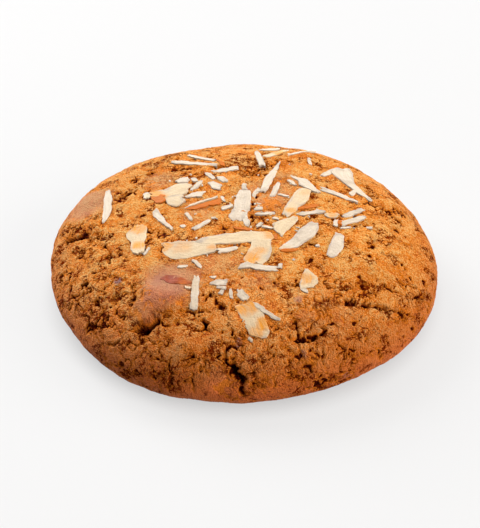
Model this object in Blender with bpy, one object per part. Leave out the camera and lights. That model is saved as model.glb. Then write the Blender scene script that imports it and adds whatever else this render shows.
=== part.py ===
"""A large soft-baked almond cookie: a crowned round of dough with slivers of almond on top.

Run with: blender --background --python part.py
Metres, +Z up. The cookie rests on its flat base in the plane Z = 0, the origin is at the
middle of the base, and -Y is the front. The tables below are in millimetres and degrees,
and a bearing is counted from +X towards +Y.
"""
from math import radians

import bmesh
import bpy
from mathutils import Vector
import numpy as np

MM = 0.001

# Driving dimensions of the dough
RADIUS = 50.0 * MM          # mean radius at the widest line
HEIGHT = 23.0 * MM          # at the middle of the crown
WIDEST = 7.5 * MM           # height of the widest line above the base
BASE_RADIUS = 42.5 * MM     # flat face the cookie was baked on
CROWN_FULLNESS = 2.6        # 2 is an ellipse, more is a flatter top with a rounder shoulder
WAVES = (                   # the outline's waves: number round the rim, height, first crest
    (2, 0.42, 101.0),
    (3, 0.19, 9.0),
    (4, 0.60, -27.0),
)

# Resolution
BALL_DIVISIONS = 7
PROFILE_STEPS = 240
DOUGH_FACES = 6600
WELD = 0.002 * MM

# Relief in the dough. Mounds: bearing, height of the place, reach, rise.
MOUNDS = (
    (-123.0, 19.6, 8.6, 2.1),
    (-64.0, 18.6, 6.5, 0.9),
    (-28.0, 19.4, 8.0, 0.7),
    (-92.0, 18.6, 5.0, 0.5),
    (-108.0, 15.6, 6.0, 0.7),
    (-149.0, 17.6, 7.5, 0.6),
    (178.0, 19.0, 6.0, 0.6),
    (158.0, 16.5, 7.0, 0.8),
    (120.0, 18.8, 7.0, 0.8),
    (62.0, 19.0, 8.0, 0.9),
    (18.0, 17.5, 7.5, 0.6),
    (-45.0, 14.0, 6.0, 0.5),
)
# Hollows: the same, sunk
HOLLOWS = (
    (-122.3, 16.9, 3.2, 2.6),
    (-119.6, 16.9, 2.0, 1.2),
    (-125.2, 16.5, 1.8, 1.0),
    (84.0, 22.0, 5.0, 0.8),
    (77.0, 21.6, 3.0, 0.6),
    (-91.0, 11.8, 2.4, 1.6),
    (-179.0, 15.7, 2.0, 0.6),
    (-103.0, 18.3, 1.5, 1.0),
    (-25.3, 13.0, 1.6, 0.9),
    (-137.0, 17.2, 3.0, 0.5),
)
# Cracks: half the width, depth, then the places it runs through, as bearing and height
CRACKS = (
    (1.5, 2.4, ((-95.0, 15.6), (-93.1, 14.2), (-91.5, 12.6), (-90.9, 10.6), (-90.4, 8.4), (-90.0, 6.0))),
    (1.0, 1.1, ((-97.4, 14.6), (-95.4, 14.7), (-94.1, 15.2))),
    (0.9, 0.9, ((-91.0, 12.4), (-87.4, 12.6))),
    (1.0, 1.3, ((-94.3, 18.2), (-93.3, 17.3), (-92.4, 16.8), (-89.9, 16.5))),
    (1.2, 1.8, ((-73.5, 15.9), (-70.3, 15.9), (-67.4, 15.8), (-64.0, 15.6), (-61.0, 16.2))),
    (0.9, 1.0, ((-71.9, 18.1), (-72.3, 17.1), (-73.0, 16.1))),
    (1.1, 1.5, ((-50.1, 18.9), (-47.5, 17.7), (-43.6, 17.0), (-39.8, 15.9), (-36.7, 14.3), (-32.8, 12.0))),
    (0.9, 0.9, ((-52.0, 20.2), (-46.2, 19.7))),
    (1.3, 1.5, ((178.3, 14.6), (-179.1, 15.7), (-175.2, 17.6), (-172.5, 18.3), (-169.0, 18.8))),
    (0.9, 0.9, ((-169.0, 18.8), (-162.7, 18.9), (-153.5, 19.6), (-151.0, 19.6))),
    (0.9, 0.9, ((-128.0, 15.0), (-118.6, 15.4), (-115.6, 14.9), (-112.0, 14.4))),
    (0.9, 0.9, ((126.0, 20.9), (115.0, 21.4), (101.0, 21.8))),
    (0.9, 0.8, ((-106.8, 13.5), (-104.4, 14.2))),
    (1.0, 0.8, ((52.0, 17.5), (45.0, 16.0), (41.0, 13.0))),
    (1.1, 0.9, ((105.0, 17.0), (99.0, 14.5), (96.0, 11.0))),
    (1.0, 0.8, ((148.0, 14.0), (143.0, 11.5), (139.0, 8.0))),
)
GRAIN = 0.32                # most that the random unevenness rises or sinks at one place
GRAIN_SPACING = 3.2
GRAIN_REACH = 4.2
SEED = 7
# Heights near the base between which the relief fades in, and the height that counts as base
FADE_START = 1.0
FADE_END = 3.0
BASE_BAND = 0.05

# Slivers of almond. The ends are where the middle of the top face is seen on the crown.
SLIVER_THICKNESS = 1.15
SLIVER_PROUD = 0.42         # how far the top face stands above the skin
SLIVER_STATIONS = ((-0.5, 0.0), (-0.30, 1.0), (0.30, 1.0), (0.5, 0.0))
SLIVER_SECTION = ((-0.42, 0.5), (-0.5, 0.2), (-0.42, -0.5), (0.42, -0.5), (0.5, 0.2), (0.42, 0.5))
SEEN_BACK = 0.57            # a proud face is seen this much further back than it lies
MIDDLE_SHARE = 0.5          # how much the skin under its middle counts for a sliver's height
# x and y of both ends, width, width at the first end and at the second end as shares of it
SLIVERS = (
    (-34.9, 17.3, -35.2, 1.3, 2.1, 0.5, 0.4),
    (-22.4, 3.9, -17.6, -5.5, 1.9, 0.7, 0.4),
    (-24.9, 13.3, -24.4, 9.9, 1.9, 0.4, 0.5),
    (-23.9, 11.2, -13.6, 12.7, 5.6, 0.4, 0.5),
    (-19.9, 7.9, -15.0, 8.0, 4.9, 0.6, 0.6),
    (-17.2, 16.6, -14.1, 17.5, 2.9, 0.7, 0.9),
    (-13.4, 11.9, -10.5, 16.3, 2.0, 0.6, 0.8),
    (-14.6, 8.7, -9.9, 10.2, 2.3, 0.3, 0.9),
    (-14.5, 3.3, -5.5, 6.4, 2.2, 0.3, 0.5),
    (-14.3, 1.2, -12.7, -2.1, 1.0, 0.7, 0.7),
    (-12.4, -5.8, -8.2, -1.6, 1.3, 0.9, 0.6),
    (-18.8, 29.0, -6.8, 25.2, 1.5, 0.8, 0.8),
    (-14.7, 33.3, -7.2, 27.8, 1.4, 0.7, 0.9),
    (-7.0, 28.6, -4.7, 25.5, 1.9, 0.7, 0.8),
    (-7.8, 21.4, -1.3, 23.7, 1.9, 0.7, 0.8),
    (-9.5, 20.5, -7.3, 17.2, 1.2, 0.7, 0.8),
    (-8.9, 14.2, -5.3, 13.1, 3.6, 0.7, 0.7),
    (-5.9, 18.4, -4.0, 16.0, 2.6, 0.8, 0.8),
    (3.7, 35.2, 5.2, 25.1, 1.6, 0.6, 0.9),
    (5.8, 31.0, 12.0, 37.5, 2.0, 0.8, 0.7),
    (4.5, 36.6, 10.2, 39.0, 1.8, 0.7, 0.7),
    (12.0, 32.3, 19.4, 37.0, 1.2, 0.8, 0.8),
    (9.8, 28.3, 5.2, 11.0, 2.4, 0.2, 0.7),
    (9.4, 15.9, 7.4, 8.7, 1.4, 0.6, 0.9),
    (4.2, 12.8, 2.6, 8.9, 1.2, 0.7, 0.7),
    (0.6, 11.1, -1.6, -2.3, 4.1, 0.7, 0.6),
    (0.4, 15.1, 0.5, 11.6, 1.2, 0.4, 0.9),
    (0.2, 1.0, 1.2, -4.3, 1.7, 0.9, 0.8),
    (3.0, 0.3, 8.3, 1.4, 1.1, 0.3, 0.8),
    (12.2, 19.3, 19.4, 11.6, 2.7, 0.3, 0.4),
    (15.9, 13.0, 10.7, 0.2, 4.3, 0.7, 0.4),
    (12.6, -0.3, 9.5, -8.8, 4.6, 0.6, 0.3),
    (13.6, 0.9, 20.9, 3.1, 1.4, 0.3, 0.3),
    (14.0, 3.4, 19.5, 6.0, 1.3, 0.5, 0.5),
    (17.8, -2.5, 9.1, -14.1, 4.0, 0.6, 0.3),
    (9.0, -15.0, 13.4, -14.0, 1.8, 0.6, 0.4),
    (26.9, 29.3, 26.2, 19.5, 4.8, 0.5, 0.3),
    (24.6, 27.0, 20.8, 21.4, 1.5, 0.8, 0.5),
    (28.2, 19.9, 33.3, 12.1, 1.9, 0.9, 0.5),
    (20.2, 14.4, 29.6, 9.5, 2.2, 0.9, 0.3),
    (21.0, 1.4, 24.0, 1.8, 1.8, 0.6, 0.7),
    (25.4, 1.5, 30.7, 6.3, 1.5, 0.8, 0.7),
    (24.8, -1.9, 31.2, 3.1, 1.6, 0.9, 0.3),
    (23.6, -5.8, 21.5, -15.5, 3.5, 0.3, 0.5),
    (-25.7, -1.9, -26.2, -9.0, 5.2, 0.5, 0.7),
    (-26.1, -9.0, -25.5, -14.3, 3.6, 0.9, 0.4),
    (-19.9, -13.3, -6.5, -13.6, 6.2, 0.6, 0.5),
    (-11.8, -11.2, 7.5, -9.0, 4.5, 0.2, 0.7),
    (-6.3, -14.9, -1.3, -13.4, 2.0, 0.8, 0.6),
    (4.7, -10.6, 3.2, -19.5, 5.8, 0.8, 0.6),
    (-1.2, -20.6, 8.3, -21.2, 2.0, 0.4, 0.8),
    (15.4, -20.6, 15.4, -27.1, 4.4, 0.3, 0.7),
    (-11.2, -23.7, -11.7, -34.1, 1.7, 0.9, 0.9),
    (-8.1, -26.8, -3.6, -25.7, 2.2, 0.4, 0.9),
    (-0.1, -32.6, 4.4, -41.9, 6.0, 0.7, 0.5),
    (-1.4, -28.7, 1.2, -31.6, 2.2, 0.7, 0.8),
    (2.8, -32.8, 9.0, -37.0, 1.6, 0.7, 0.3),
)

DOUGH_COLOUR = (0.46, 0.19, 0.05, 1.0)
DOUGH_ROUGHNESS = 0.85
ALMOND_COLOUR = (0.86, 0.72, 0.50, 1.0)
ALMOND_ROUGHNESS = 0.5


def clear_scene():
    for thing in list(bpy.data.objects):
        bpy.data.objects.remove(thing, do_unlink=True)


def material(name, colour, roughness):
    finish = bpy.data.materials.new(name)
    finish.use_nodes = True
    shader = finish.node_tree.nodes["Principled BSDF"]
    shader.inputs["Base Color"].default_value = colour
    shader.inputs["Roughness"].default_value = roughness
    shader.inputs["Metallic"].default_value = 0.0
    return finish


def outline(bearing):
    """Radius (m) at the widest line, for bearings in radians."""
    radius = RADIUS + 0.0 * bearing
    for count, height, crest in WAVES:
        radius = radius + height * MM * np.cos(count * (bearing - radians(crest)))
    return radius


def wall_radius(height):
    """Mean radius of the skin at a height (m): the crown above the widest line, the heel below."""
    up = np.clip((height - WIDEST) / (HEIGHT - WIDEST), 0.0, 1.0)
    down = np.clip((WIDEST - height) / WIDEST, 0.0, 1.0)
    crown = RADIUS * (1.0 - up ** 2) ** (1.0 / CROWN_FULLNESS)
    heel = BASE_RADIUS + (RADIUS - BASE_RADIUS) * np.sqrt(1.0 - down ** 2)
    return np.where(height > WIDEST, crown, heel)


def crown_height(x, y):
    share = np.clip(np.hypot(x, y) / outline(np.arctan2(y, x)), 0.0, 1.0)
    return WIDEST + (HEIGHT - WIDEST) * np.sqrt(1.0 - share ** CROWN_FULLNESS)


def on_wall(bearing, height):
    """Point (m) on the skin at a bearing in degrees and a height in mm."""
    turn = radians(bearing)
    radius = wall_radius(height * MM) * outline(turn) / RADIUS
    return np.array((radius * np.cos(turn), radius * np.sin(turn), height * MM))


def on_crown(x, y):
    """Point (m) on the crown above a place in plan, in mm."""
    return Vector((x * MM, y * MM, float(crown_height(x * MM, y * MM))))


def crown_normal(x, y):
    step = 0.5
    along = on_crown(x + step, y) - on_crown(x - step, y)
    across = on_crown(x, y + step) - on_crown(x, y - step)
    return along.cross(across).normalized()


def profile():
    """Radius and height from the middle of the crown, over the wall, to the middle of the base,
    with the share of the whole surface that lies above each step."""
    turn = np.linspace(0.0, np.pi / 2, PROFILE_STEPS)
    crown = np.stack((RADIUS * np.sin(turn) ** (2 / CROWN_FULLNESS),
                      WIDEST + (HEIGHT - WIDEST) * np.cos(turn)), axis=1)
    heel = np.stack((BASE_RADIUS + (RADIUS - BASE_RADIUS) * np.cos(turn),
                     WIDEST - WIDEST * np.sin(turn)), axis=1)
    base = np.stack((BASE_RADIUS * (1.0 - turn / turn[-1]), 0.0 * turn), axis=1)
    line = np.concatenate((crown, heel[1:], base[1:]))
    step = np.hypot(*np.diff(line, axis=0).T)
    area = np.concatenate(([0.0], np.cumsum(step * (line[1:, 0] + line[:-1, 0]) / 2)))
    return line, area / area[-1]


def smooth_skin(ball):
    """Spread a unit ball's points evenly over the plain cookie shape."""
    line, area = profile()
    share = (1.0 - ball[:, 2]) / 2.0
    radius = np.interp(share, area, line[:, 0])
    height = np.interp(share, area, line[:, 1])
    bearing = np.arctan2(ball[:, 1], ball[:, 0])
    radius = radius * outline(bearing) / RADIUS
    return np.stack((radius * np.cos(bearing), radius * np.sin(bearing), height), axis=1)


def bump(distance, reach):
    """1 at the middle, falling smoothly to 0 at the reach."""
    share = np.clip(distance / reach, 0.0, 1.0)
    return (1.0 - share ** 2) ** 2


def distance_to_line(points, corners):
    """Shortest distance from each point to the line through the corners."""
    nearest = np.full(len(points), np.inf)
    for start, end in zip(corners, corners[1:]):
        run = end - start
        share = np.clip((points - start) @ run / (run @ run), 0.0, 1.0)
        gap = points - start - share[:, None] * run
        nearest = np.minimum(nearest, np.linalg.norm(gap, axis=1))
    return nearest


def grain(points):
    """Smooth random unevenness: rounded bumps and dips at seeded places."""
    draw = np.random.default_rng(SEED)
    spots = int((2.0 * RADIUS) ** 2 / (GRAIN_SPACING * MM) ** 2)
    rise = np.zeros(len(points))
    for x, y, size in draw.uniform((-1.0, -1.0, -1.0), (1.0, 1.0, 1.0), (spots, 3)):
        place = Vector((x * RADIUS, y * RADIUS, 0.0))
        if place.length < RADIUS:
            centre = np.array((place.x, place.y, crown_height(place.x, place.y)))
            distance = np.linalg.norm(points - centre, axis=1)
            rise += size * bump(distance, GRAIN_REACH * MM)
    return GRAIN * MM * rise


def relief(points):
    """How far (m) the skin stands out of the plain shape at its points."""
    rise = grain(points)
    for table, sign in ((MOUNDS, 1.0), (HOLLOWS, -1.0)):
        for bearing, height, reach, size in table:
            distance = np.linalg.norm(points - on_wall(bearing, height), axis=1)
            rise += sign * size * MM * bump(distance, reach * MM)
    for reach, depth, places in CRACKS:
        corners = [on_wall(bearing, height) for bearing, height in places]
        rise -= depth * MM * bump(distance_to_line(points, corners), reach * MM)
    fade = (points[:, 2] / MM - FADE_START) / (FADE_END - FADE_START)
    return rise * np.clip(fade, 0.0, 1.0)


def on_dough(x, y):
    """Point (m) on the uneven skin above a place in plan, in mm."""
    plain = on_crown(x, y)
    return plain + crown_normal(x, y) * float(relief(np.array([plain]))[0])


def apply_modifiers(thing):
    """Replace an object's mesh by what its modifiers make of it."""
    view = bpy.context.evaluated_depsgraph_get()
    result = bpy.data.meshes.new_from_object(thing.evaluated_get(view))
    thing.modifiers.clear()
    thing.data = result


def make_dough(finish):
    shell = bmesh.new()
    bmesh.ops.create_icosphere(shell, subdivisions=BALL_DIVISIONS, radius=1.0)
    mesh = bpy.data.meshes.new("cookie")
    shell.to_mesh(mesh)
    shell.free()
    ball = np.empty(len(mesh.vertices) * 3, dtype=np.float32)
    mesh.vertices.foreach_get("co", ball)
    plain = smooth_skin(ball.reshape(-1, 3).astype(float))
    mesh.vertices.foreach_set("co", plain.ravel())
    mesh.update()
    normals = np.empty(len(mesh.vertices) * 3, dtype=np.float32)
    mesh.vertex_normals.foreach_get("vector", normals)
    uneven = plain + relief(plain)[:, None] * normals.reshape(-1, 3)
    mesh.vertices.foreach_set("co", uneven.ravel())
    mesh.update()
    mesh.materials.append(finish)
    cookie = bpy.data.objects.new("cookie", mesh)
    bpy.context.collection.objects.link(cookie)
    thin = cookie.modifiers.new("thin", "DECIMATE")
    thin.ratio = DOUGH_FACES / len(mesh.polygons)
    apply_modifiers(cookie)
    for corner in cookie.data.vertices:
        if corner.co.z < BASE_BAND * MM:
            corner.co.z = 0.0
    return cookie


def make_sliver(name, ends, width, shares, finish):
    """A flat stick of almond lying on the dough between two places, bevelled along its edges."""
    (x0, y0), (x1, y1) = ends
    start = on_dough(x0, y0 - SEEN_BACK)
    end = on_dough(x1, y1 - SEEN_BACK)
    middle_x = (x0 + x1) / 2
    middle_y = (y0 + y1) / 2 - SEEN_BACK
    normal = crown_normal(middle_x, middle_y)
    along = (end - start).normalized()
    side = normal.cross(along).normalized()
    up = along.cross(side)
    middle = on_dough(middle_x, middle_y)
    centre = ((start + end) / 2).lerp(middle, MIDDLE_SHARE)
    centre += up * (SLIVER_PROUD - SLIVER_THICKNESS / 2) * MM
    length = (end - start).length
    shell = bmesh.new()
    rings = []
    for place, full in SLIVER_STATIONS:
        share = full + (1.0 - full) * (shares[0] if place < 0 else shares[1])
        ring = []
        for across, high in SLIVER_SECTION:
            offset = along * place * length + side * across * width * share * MM
            ring.append(shell.verts.new(centre + offset + up * high * SLIVER_THICKNESS * MM))
        rings.append(ring)
    for ring, following in zip(rings, rings[1:]):
        for corner in range(len(ring)):
            after = (corner + 1) % len(ring)
            shell.faces.new((ring[corner], ring[after], following[after], following[corner]))
    shell.faces.new(rings[0][::-1])
    shell.faces.new(rings[-1])
    bmesh.ops.recalc_face_normals(shell, faces=shell.faces)
    mesh = bpy.data.meshes.new(name)
    shell.to_mesh(mesh)
    shell.free()
    mesh.materials.append(finish)
    return bpy.data.objects.new(name, mesh)


def make_slivers(topping, finish):
    for number, (x0, y0, x1, y1, width, first, second) in enumerate(SLIVERS):
        sliver = make_sliver(f"sliver_{number}", ((x0, y0), (x1, y1)), width, (first, second), finish)
        topping.objects.link(sliver)


def fuse(cookie, topping):
    """Join the almonds to the dough in one solid and remove the separate pieces."""
    join = cookie.modifiers.new("fuse", "BOOLEAN")
    join.operation = "UNION"
    join.operand_type = "COLLECTION"
    join.collection = topping
    join.solver = "EXACT"
    apply_modifiers(cookie)
    for piece in list(topping.objects):
        bpy.data.objects.remove(piece, do_unlink=True)
    bpy.data.collections.remove(topping)


def drop_scraps(shell):
    """Keep the largest connected skin: the others are loose scraps and hollows sealed by fusing."""
    left = set(shell.verts)
    islands = []
    while left:
        grow = [left.pop()]
        island = set(grow)
        while grow:
            for edge in grow.pop().link_edges:
                for corner in edge.verts:
                    if corner in left:
                        left.discard(corner)
                        island.add(corner)
                        grow.append(corner)
        islands.append(island)
    islands.sort(key=len)
    for island in islands[:-1]:
        bmesh.ops.delete(shell, geom=list(island), context="VERTS")


def tidy(cookie):
    """Weld points that coincide and leave plain triangles."""
    shell = bmesh.new()
    shell.from_mesh(cookie.data)
    bmesh.ops.remove_doubles(shell, verts=shell.verts, dist=WELD)
    bmesh.ops.dissolve_degenerate(shell, edges=shell.edges, dist=WELD)
    bmesh.ops.triangulate(shell, faces=shell.faces)
    drop_scraps(shell)
    shell.to_mesh(cookie.data)
    shell.free()


def main():
    clear_scene()
    dough_finish = material("dough", DOUGH_COLOUR, DOUGH_ROUGHNESS)
    almond_finish = material("almond", ALMOND_COLOUR, ALMOND_ROUGHNESS)
    cookie = make_dough(dough_finish)
    topping = bpy.data.collections.new("topping")
    bpy.context.scene.collection.children.link(topping)
    make_slivers(topping, almond_finish)
    fuse(cookie, topping)
    tidy(cookie)


main()
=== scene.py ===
"""Almond cookie: the finished look of a large soft-baked cookie strewn with almond slivers.

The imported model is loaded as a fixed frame. The dough and the almonds are modelled round it,
in the same place and at the same size. Blender's units are metres. The tables hold
millimetres and degrees, and a bearing is counted from +X towards +Y.
"""
import itertools
from functools import reduce
from math import cos, radians, sin

import bpy
import numpy as np
from bpy.props import FloatProperty, FloatVectorProperty, IntProperty, PointerProperty
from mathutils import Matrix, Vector
from mathutils.bvhtree import BVHTree


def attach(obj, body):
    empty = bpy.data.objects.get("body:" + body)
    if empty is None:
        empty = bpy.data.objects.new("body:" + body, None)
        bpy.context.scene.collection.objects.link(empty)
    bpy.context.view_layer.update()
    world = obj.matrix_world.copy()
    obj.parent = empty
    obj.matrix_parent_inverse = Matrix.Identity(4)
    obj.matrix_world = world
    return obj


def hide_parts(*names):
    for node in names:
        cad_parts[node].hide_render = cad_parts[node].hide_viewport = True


bl_info = {
    "name": "Almond cookie",
    "version": (1, 0, 0),
    "blender": (4, 5, 0),
    "location": "View3D > Sidebar > Cookie",
    "description": "Soft-baked almond cookie with a cracked, sandy crown",
    "category": "Add Mesh",
}

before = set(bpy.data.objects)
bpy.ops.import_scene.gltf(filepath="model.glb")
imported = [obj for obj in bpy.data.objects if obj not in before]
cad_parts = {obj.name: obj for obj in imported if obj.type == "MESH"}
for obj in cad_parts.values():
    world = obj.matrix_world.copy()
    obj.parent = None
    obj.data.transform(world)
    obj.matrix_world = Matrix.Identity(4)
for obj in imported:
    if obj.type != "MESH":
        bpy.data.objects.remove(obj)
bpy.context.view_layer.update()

MM = 0.001

# ---- shape of the dough
CROWN_FULLNESS = 2.6
# Waves in the outline: how many, height, bearing of a crest
WAVES = ((2, 0.42, 101.0), (3, 0.19, 9.0), (4, 0.60, -27.0))
PROFILE_STEPS = 400
BASE_SHARE = 0.10  # share of the mesh that the flat base gets

# Mounds on the skin: bearing, height, reach, how far they stand out
MOUNDS = (
    (-122.8, 19.4, 8.8, 2.4), (-64, 18.6, 6.5, 0.9), (-28, 19.4, 8, 0.7), (-92, 18.6, 5, 0.5),
    (-108, 15.6, 6, 0.7), (-149, 17.6, 7.5, 0.6), (178, 19, 6, 0.6), (158, 16.5, 7, 0.8),
    (120, 18.8, 7, 0.8), (62, 19, 8, 0.9), (18, 17.5, 7.5, 0.6), (-45, 14, 6, 0.5),
)
# Hollows: bearing, height, reach, depth
HOLLOWS = (
    (-121.3, 16.4, 2.7, 2.5), (-119.8, 17, 1.6, 1), (-123, 16, 2.2, 1.9), (84, 22, 5, 0.8),
    (77, 21.6, 3, 0.6), (-91.4, 11.4, 2.2, 1.2), (-179, 15.7, 2, 0.6), (-103, 18.3, 1.5, 0.8),
    (-137, 17.2, 3, 0.5),
)
# Cracks: width, depth, and the bearing and height of each corner
CRACKS = (
    (1.8, 2.2, (-92.9, 13.4, -91.6, 11.8, -90.3, 10.2)), (1.4, 1.7, (-90.3, 8.6, -90.2, 6.6)),
    (0.9, 0.9, (-90.8, 10.2, -90.3, 8.6)), (0.9, 0.9, (-96.8, 14.3, -94.8, 13.9, -92.9, 13.4)),
    (0.8, 0.8, (-95.3, 15.7, -94.8, 13.9)), (0.9, 0.9, (-90.6, 11.3, -87.6, 11.8)),
    (0.8, 0.8, (-94.4, 17.9, -94, 17.2, -92.6, 16.5, -89.8, 16)),
    (1.4, 1.6, (-72.8, 15.8, -70.5, 15.9, -67.8, 15.9, -65.2, 15.8)), (1, 1, (-65.2, 15.8, -63.4, 16.3)),
    (0.7, 0.7, (-60.8, 16.6, -57.8, 16)), (0.8, 0.9, (-71.1, 18.1, -71.6, 17.1, -72.6, 16)),
    (1.1, 1, (-50.2, 18.5, -49.4, 18.2, -48, 17.8)), (1.9, 2.2, (-44.6, 17.1, -42.4, 16.4, -39.9, 15.4)),
    (1.2, 1.2, (-38.2, 14.8, -37.2, 14.4, -36.2, 13.5)), (1, 1, (-33.8, 12.5, -32.3, 11)),
    (1.2, 1.3, (-27.4, 13.5, -25.9, 12.6, -24.5, 11.8)), (0.8, 0.7, (-43.7, 18.3, -42.7, 17.8)),
    (1.4, 1.4, (-179.8, 14.9, -178.9, 16.4, -176.8, 17.7)), (1, 0.9, (-178.8, 17.4, -179.6, 18.4)),
    (0.8, 0.8, (-176.8, 17.7, -170.6, 18.7, -165, 19.2, -155.3, 19.2)),
    (0.9, 0.9, (-127.4, 15, -125.2, 15, -122.8, 15.4)),
    (0.8, 0.8, (-119.8, 15.6, -118.2, 14.9, -115.8, 14.7)), (1, 0.9, (126, 20.9, 115, 21.4, 101, 21.8)),
    (0.9, 0.9, (-106.8, 13.5, -104.4, 14.2)), (1, 0.9, (52, 17.5, 45, 16, 41, 13)),
    (1.1, 1, (105, 17, 99, 14.5, 96, 11)), (1.1, 0.9, (148, 14, 143, 11.5, 139, 8)),
    (1.6, 0.3, (-133.7, 18.6, -130.9, 17.9, -127.3, 17.3, -124.1, 16.9)),
    (0.8, 0.7, (-143.2, 13.9, -142.3, 13)), (0.8, 0.7, (-138.7, 12.5, -137.3, 11.9)),
    (0.8, 0.7, (-130.5, 11.3, -128.8, 12.3, -127.3, 13.2)),
    (0.9, 0.8, (-52, 20, -49.5, 19.7, -46.5, 19.4)), (0.8, 0.7, (-82.5, 13.9, -80.9, 14.5)),
    (0.8, 0.8, (-73.1, 12.1, -72, 11, -71.6, 9.9)),
    (0.8, 0.7, (-111.1, 12.3, -110.6, 10.8, -109.4, 9.2, -108.8, 7.7)),
    (1.2, 1, (-103.6, 18.6, -102.8, 17.8)), (1, 0.7, (90, 22.3, 83, 22.2, 80.6, 21.8, 74.6, 21.7)),
)
# Small pits on the wall: bearing, height, size
PITS = (
    (132.7, 19.2, 1.2), (172.5, 18.2, 0.7), (-176, 13.2, 1), (-156.3, 19.9, 1), (-155.3, 19.2, 1),
    (-168, 20, 0.7), (-154.6, 17.3, 1.3), (-152.3, 15.7, 1.4), (-144, 18.3, 0.8), (-142.4, 15.3, 1.1),
    (-150.2, 17.9, 0.6), (-138, 17.5, 0.6), (-147.8, 10.8, 0.7), (16.3, 20, 1), (8.1, 17.4, 0.9),
    (0.5, 17.9, 1.3), (-16.7, 19.9, 1.2), (-23.8, 20, 0.9), (-18.7, 17.1, 1), (-36.7, 19.4, 0.7),
    (-21.4, 15.7, 0.7), (-4.9, 19.7, 0.7), (-98.2, 20, 1.1), (-102.7, 16.9, 0.6), (-95, 15.6, 0.9),
    (-96.6, 14.7, 1), (-114.7, 8.6, 1), (-114.2, 12.6, 0.6), (-103.6, 12.9, 0.6), (-50.1, 18.9, 0.7),
    (-49.5, 18.2, 1.1), (-43.8, 18.3, 0.6), (-33.3, 12.3, 0.8), (-19.1, 17.1, 0.8), (-54.8, 15, 0.6),
    (-63, 16, 0.6), (-50.1, 11.3, 0.8), (-70, 14.1, 0.6), (-72.9, 15.1, 0.6), (-68.4, 8.2, 1),
    (-67, 11.4, 0.7), (-52.7, 15.9, 0.9), (-59.4, 16.6, 0.9), (-60.9, 12.3, 0.6), (-4.6, 13.3, 0.7),
)
# The same on the crown: x, y, size
CROWN_PITS = (
    (-18.1, 24.5, 1.1), (-24.2, 18.4, 0.9), (-25.4, 2.3, 1.1), (-23.4, -8.8, 1.1), (-19.1, -7.9, 0.8),
    (-1.7, -21, 0.8), (4.2, 22.6, 1.1), (6.7, 23.9, 0.9), (1.8, 26.6, 0.9), (0, 19.2, 1.1),
    (8.3, 29.2, 0.8), (3, 8.3, 1.3), (2.6, 5.8, 1.1), (2.3, 2.8, 1), (1.7, -0.2, 0.8), (-4.9, -33.7, 1.2),
    (29.4, -13, 0.8), (16.8, -17.4, 1.3), (17.9, -15.6, 0.6), (13.1, -25, 0.9), (7.5, -26.4, 0.8),
    (4.2, -28.1, 1.1), (0, -24.9, 0.7), (-5.9, -31.7, 1.2), (-7.5, -30.4, 0.7),
)
# Places where the skin stayed smooth: bearing, height, reach, how smooth
SMOOTH = (
    (-123, 20.8, 9, 1), (-124, 18.3, 5, 0.7), (161, 16.8, 8, 0.9), (-62, 18.6, 6.5, 0.15),
    (-92, 6.5, 3, 0.3), (-96.3, 9, 4.5, 0.7), (-59.5, 18.3, 9, 0.2),
)
# The same on the crown: x, y, reach, how smooth
CROWN_SMOOTH = (
    (-21.5, 18.5, 6, 0.6), (-11.5, 2.5, 7, 0.5), (6, 9, 9, 0.6), (11, 17, 6, 0.5), (-6, -19.5, 9, 0.4),
    (3.5, -25, 6, 0.4),
)
# Grey and violet specks of something baked in: bearing, height, reach, how strong
VIOLET = (
    (-143.4, 18.7, 1.5, 0.9), (-66.6, 19.8, 1.8, 0.45), (-72.7, 13.7, 1.7, 0.5), (-60.3, 7, 1.6, 0.5),
    (-91.3, 16.4, 1.8, 0.9), (-124.5, 20, 8, 0.22),
)
# Painted shade on the low side of the mounds: bearing, height, reach, how much
MOUND_SHADE = (
    (-121.5, 18.6, 9, 0.55), (-121, 16.8, 5, 0.8), (-66, 17.8, 8, 0.45),
)
# Places where the crumb is torn more than elsewhere, or less: bearing, height, reach, how much
TORN = (
    (-172, 15, 17, 0.3), (-140, 15, 15, 0.28), (-112, 12, 12, 0.15), (-92, 14, 9, 0.1),
    (-122, 5, 10, 0.15), (-98, 6.5, 9, -0.15), (-66, 8, 11, 0.25), (-72, 15.5, 8, -0.35),
    (-45, 17, 12, 0.15), (84, 21.5, 10, 0.75), (128, 20.5, 9, 0.2), (5, 17, 16, -0.05),
    (55, 19, 15, -0.15),
)

# Pushes that make every edge on the dough irregular: push, size, salt
PUSHES = ((0.9, 2.6, 11), (0.45, 1.1, 12), (0.22, 0.5, 13))
NEAR = 0.75  # share of them that cracks, pits and specks get
# Raggedness of cracks and pits, and broad unevenness of the skin: share, size, salt
RAGGED = ((0.5, 1.3, 14), (0.4, 0.6, 15))
SWELLS = ((1.0, 9.0, 1), (0.6, 4.2, 2))
FINER = 0.47  # size of a layer of detail in the one before
CLUMP_LAYERS = (21, 4, 0.65)  # salt, number, weight of each in the one before
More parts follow.
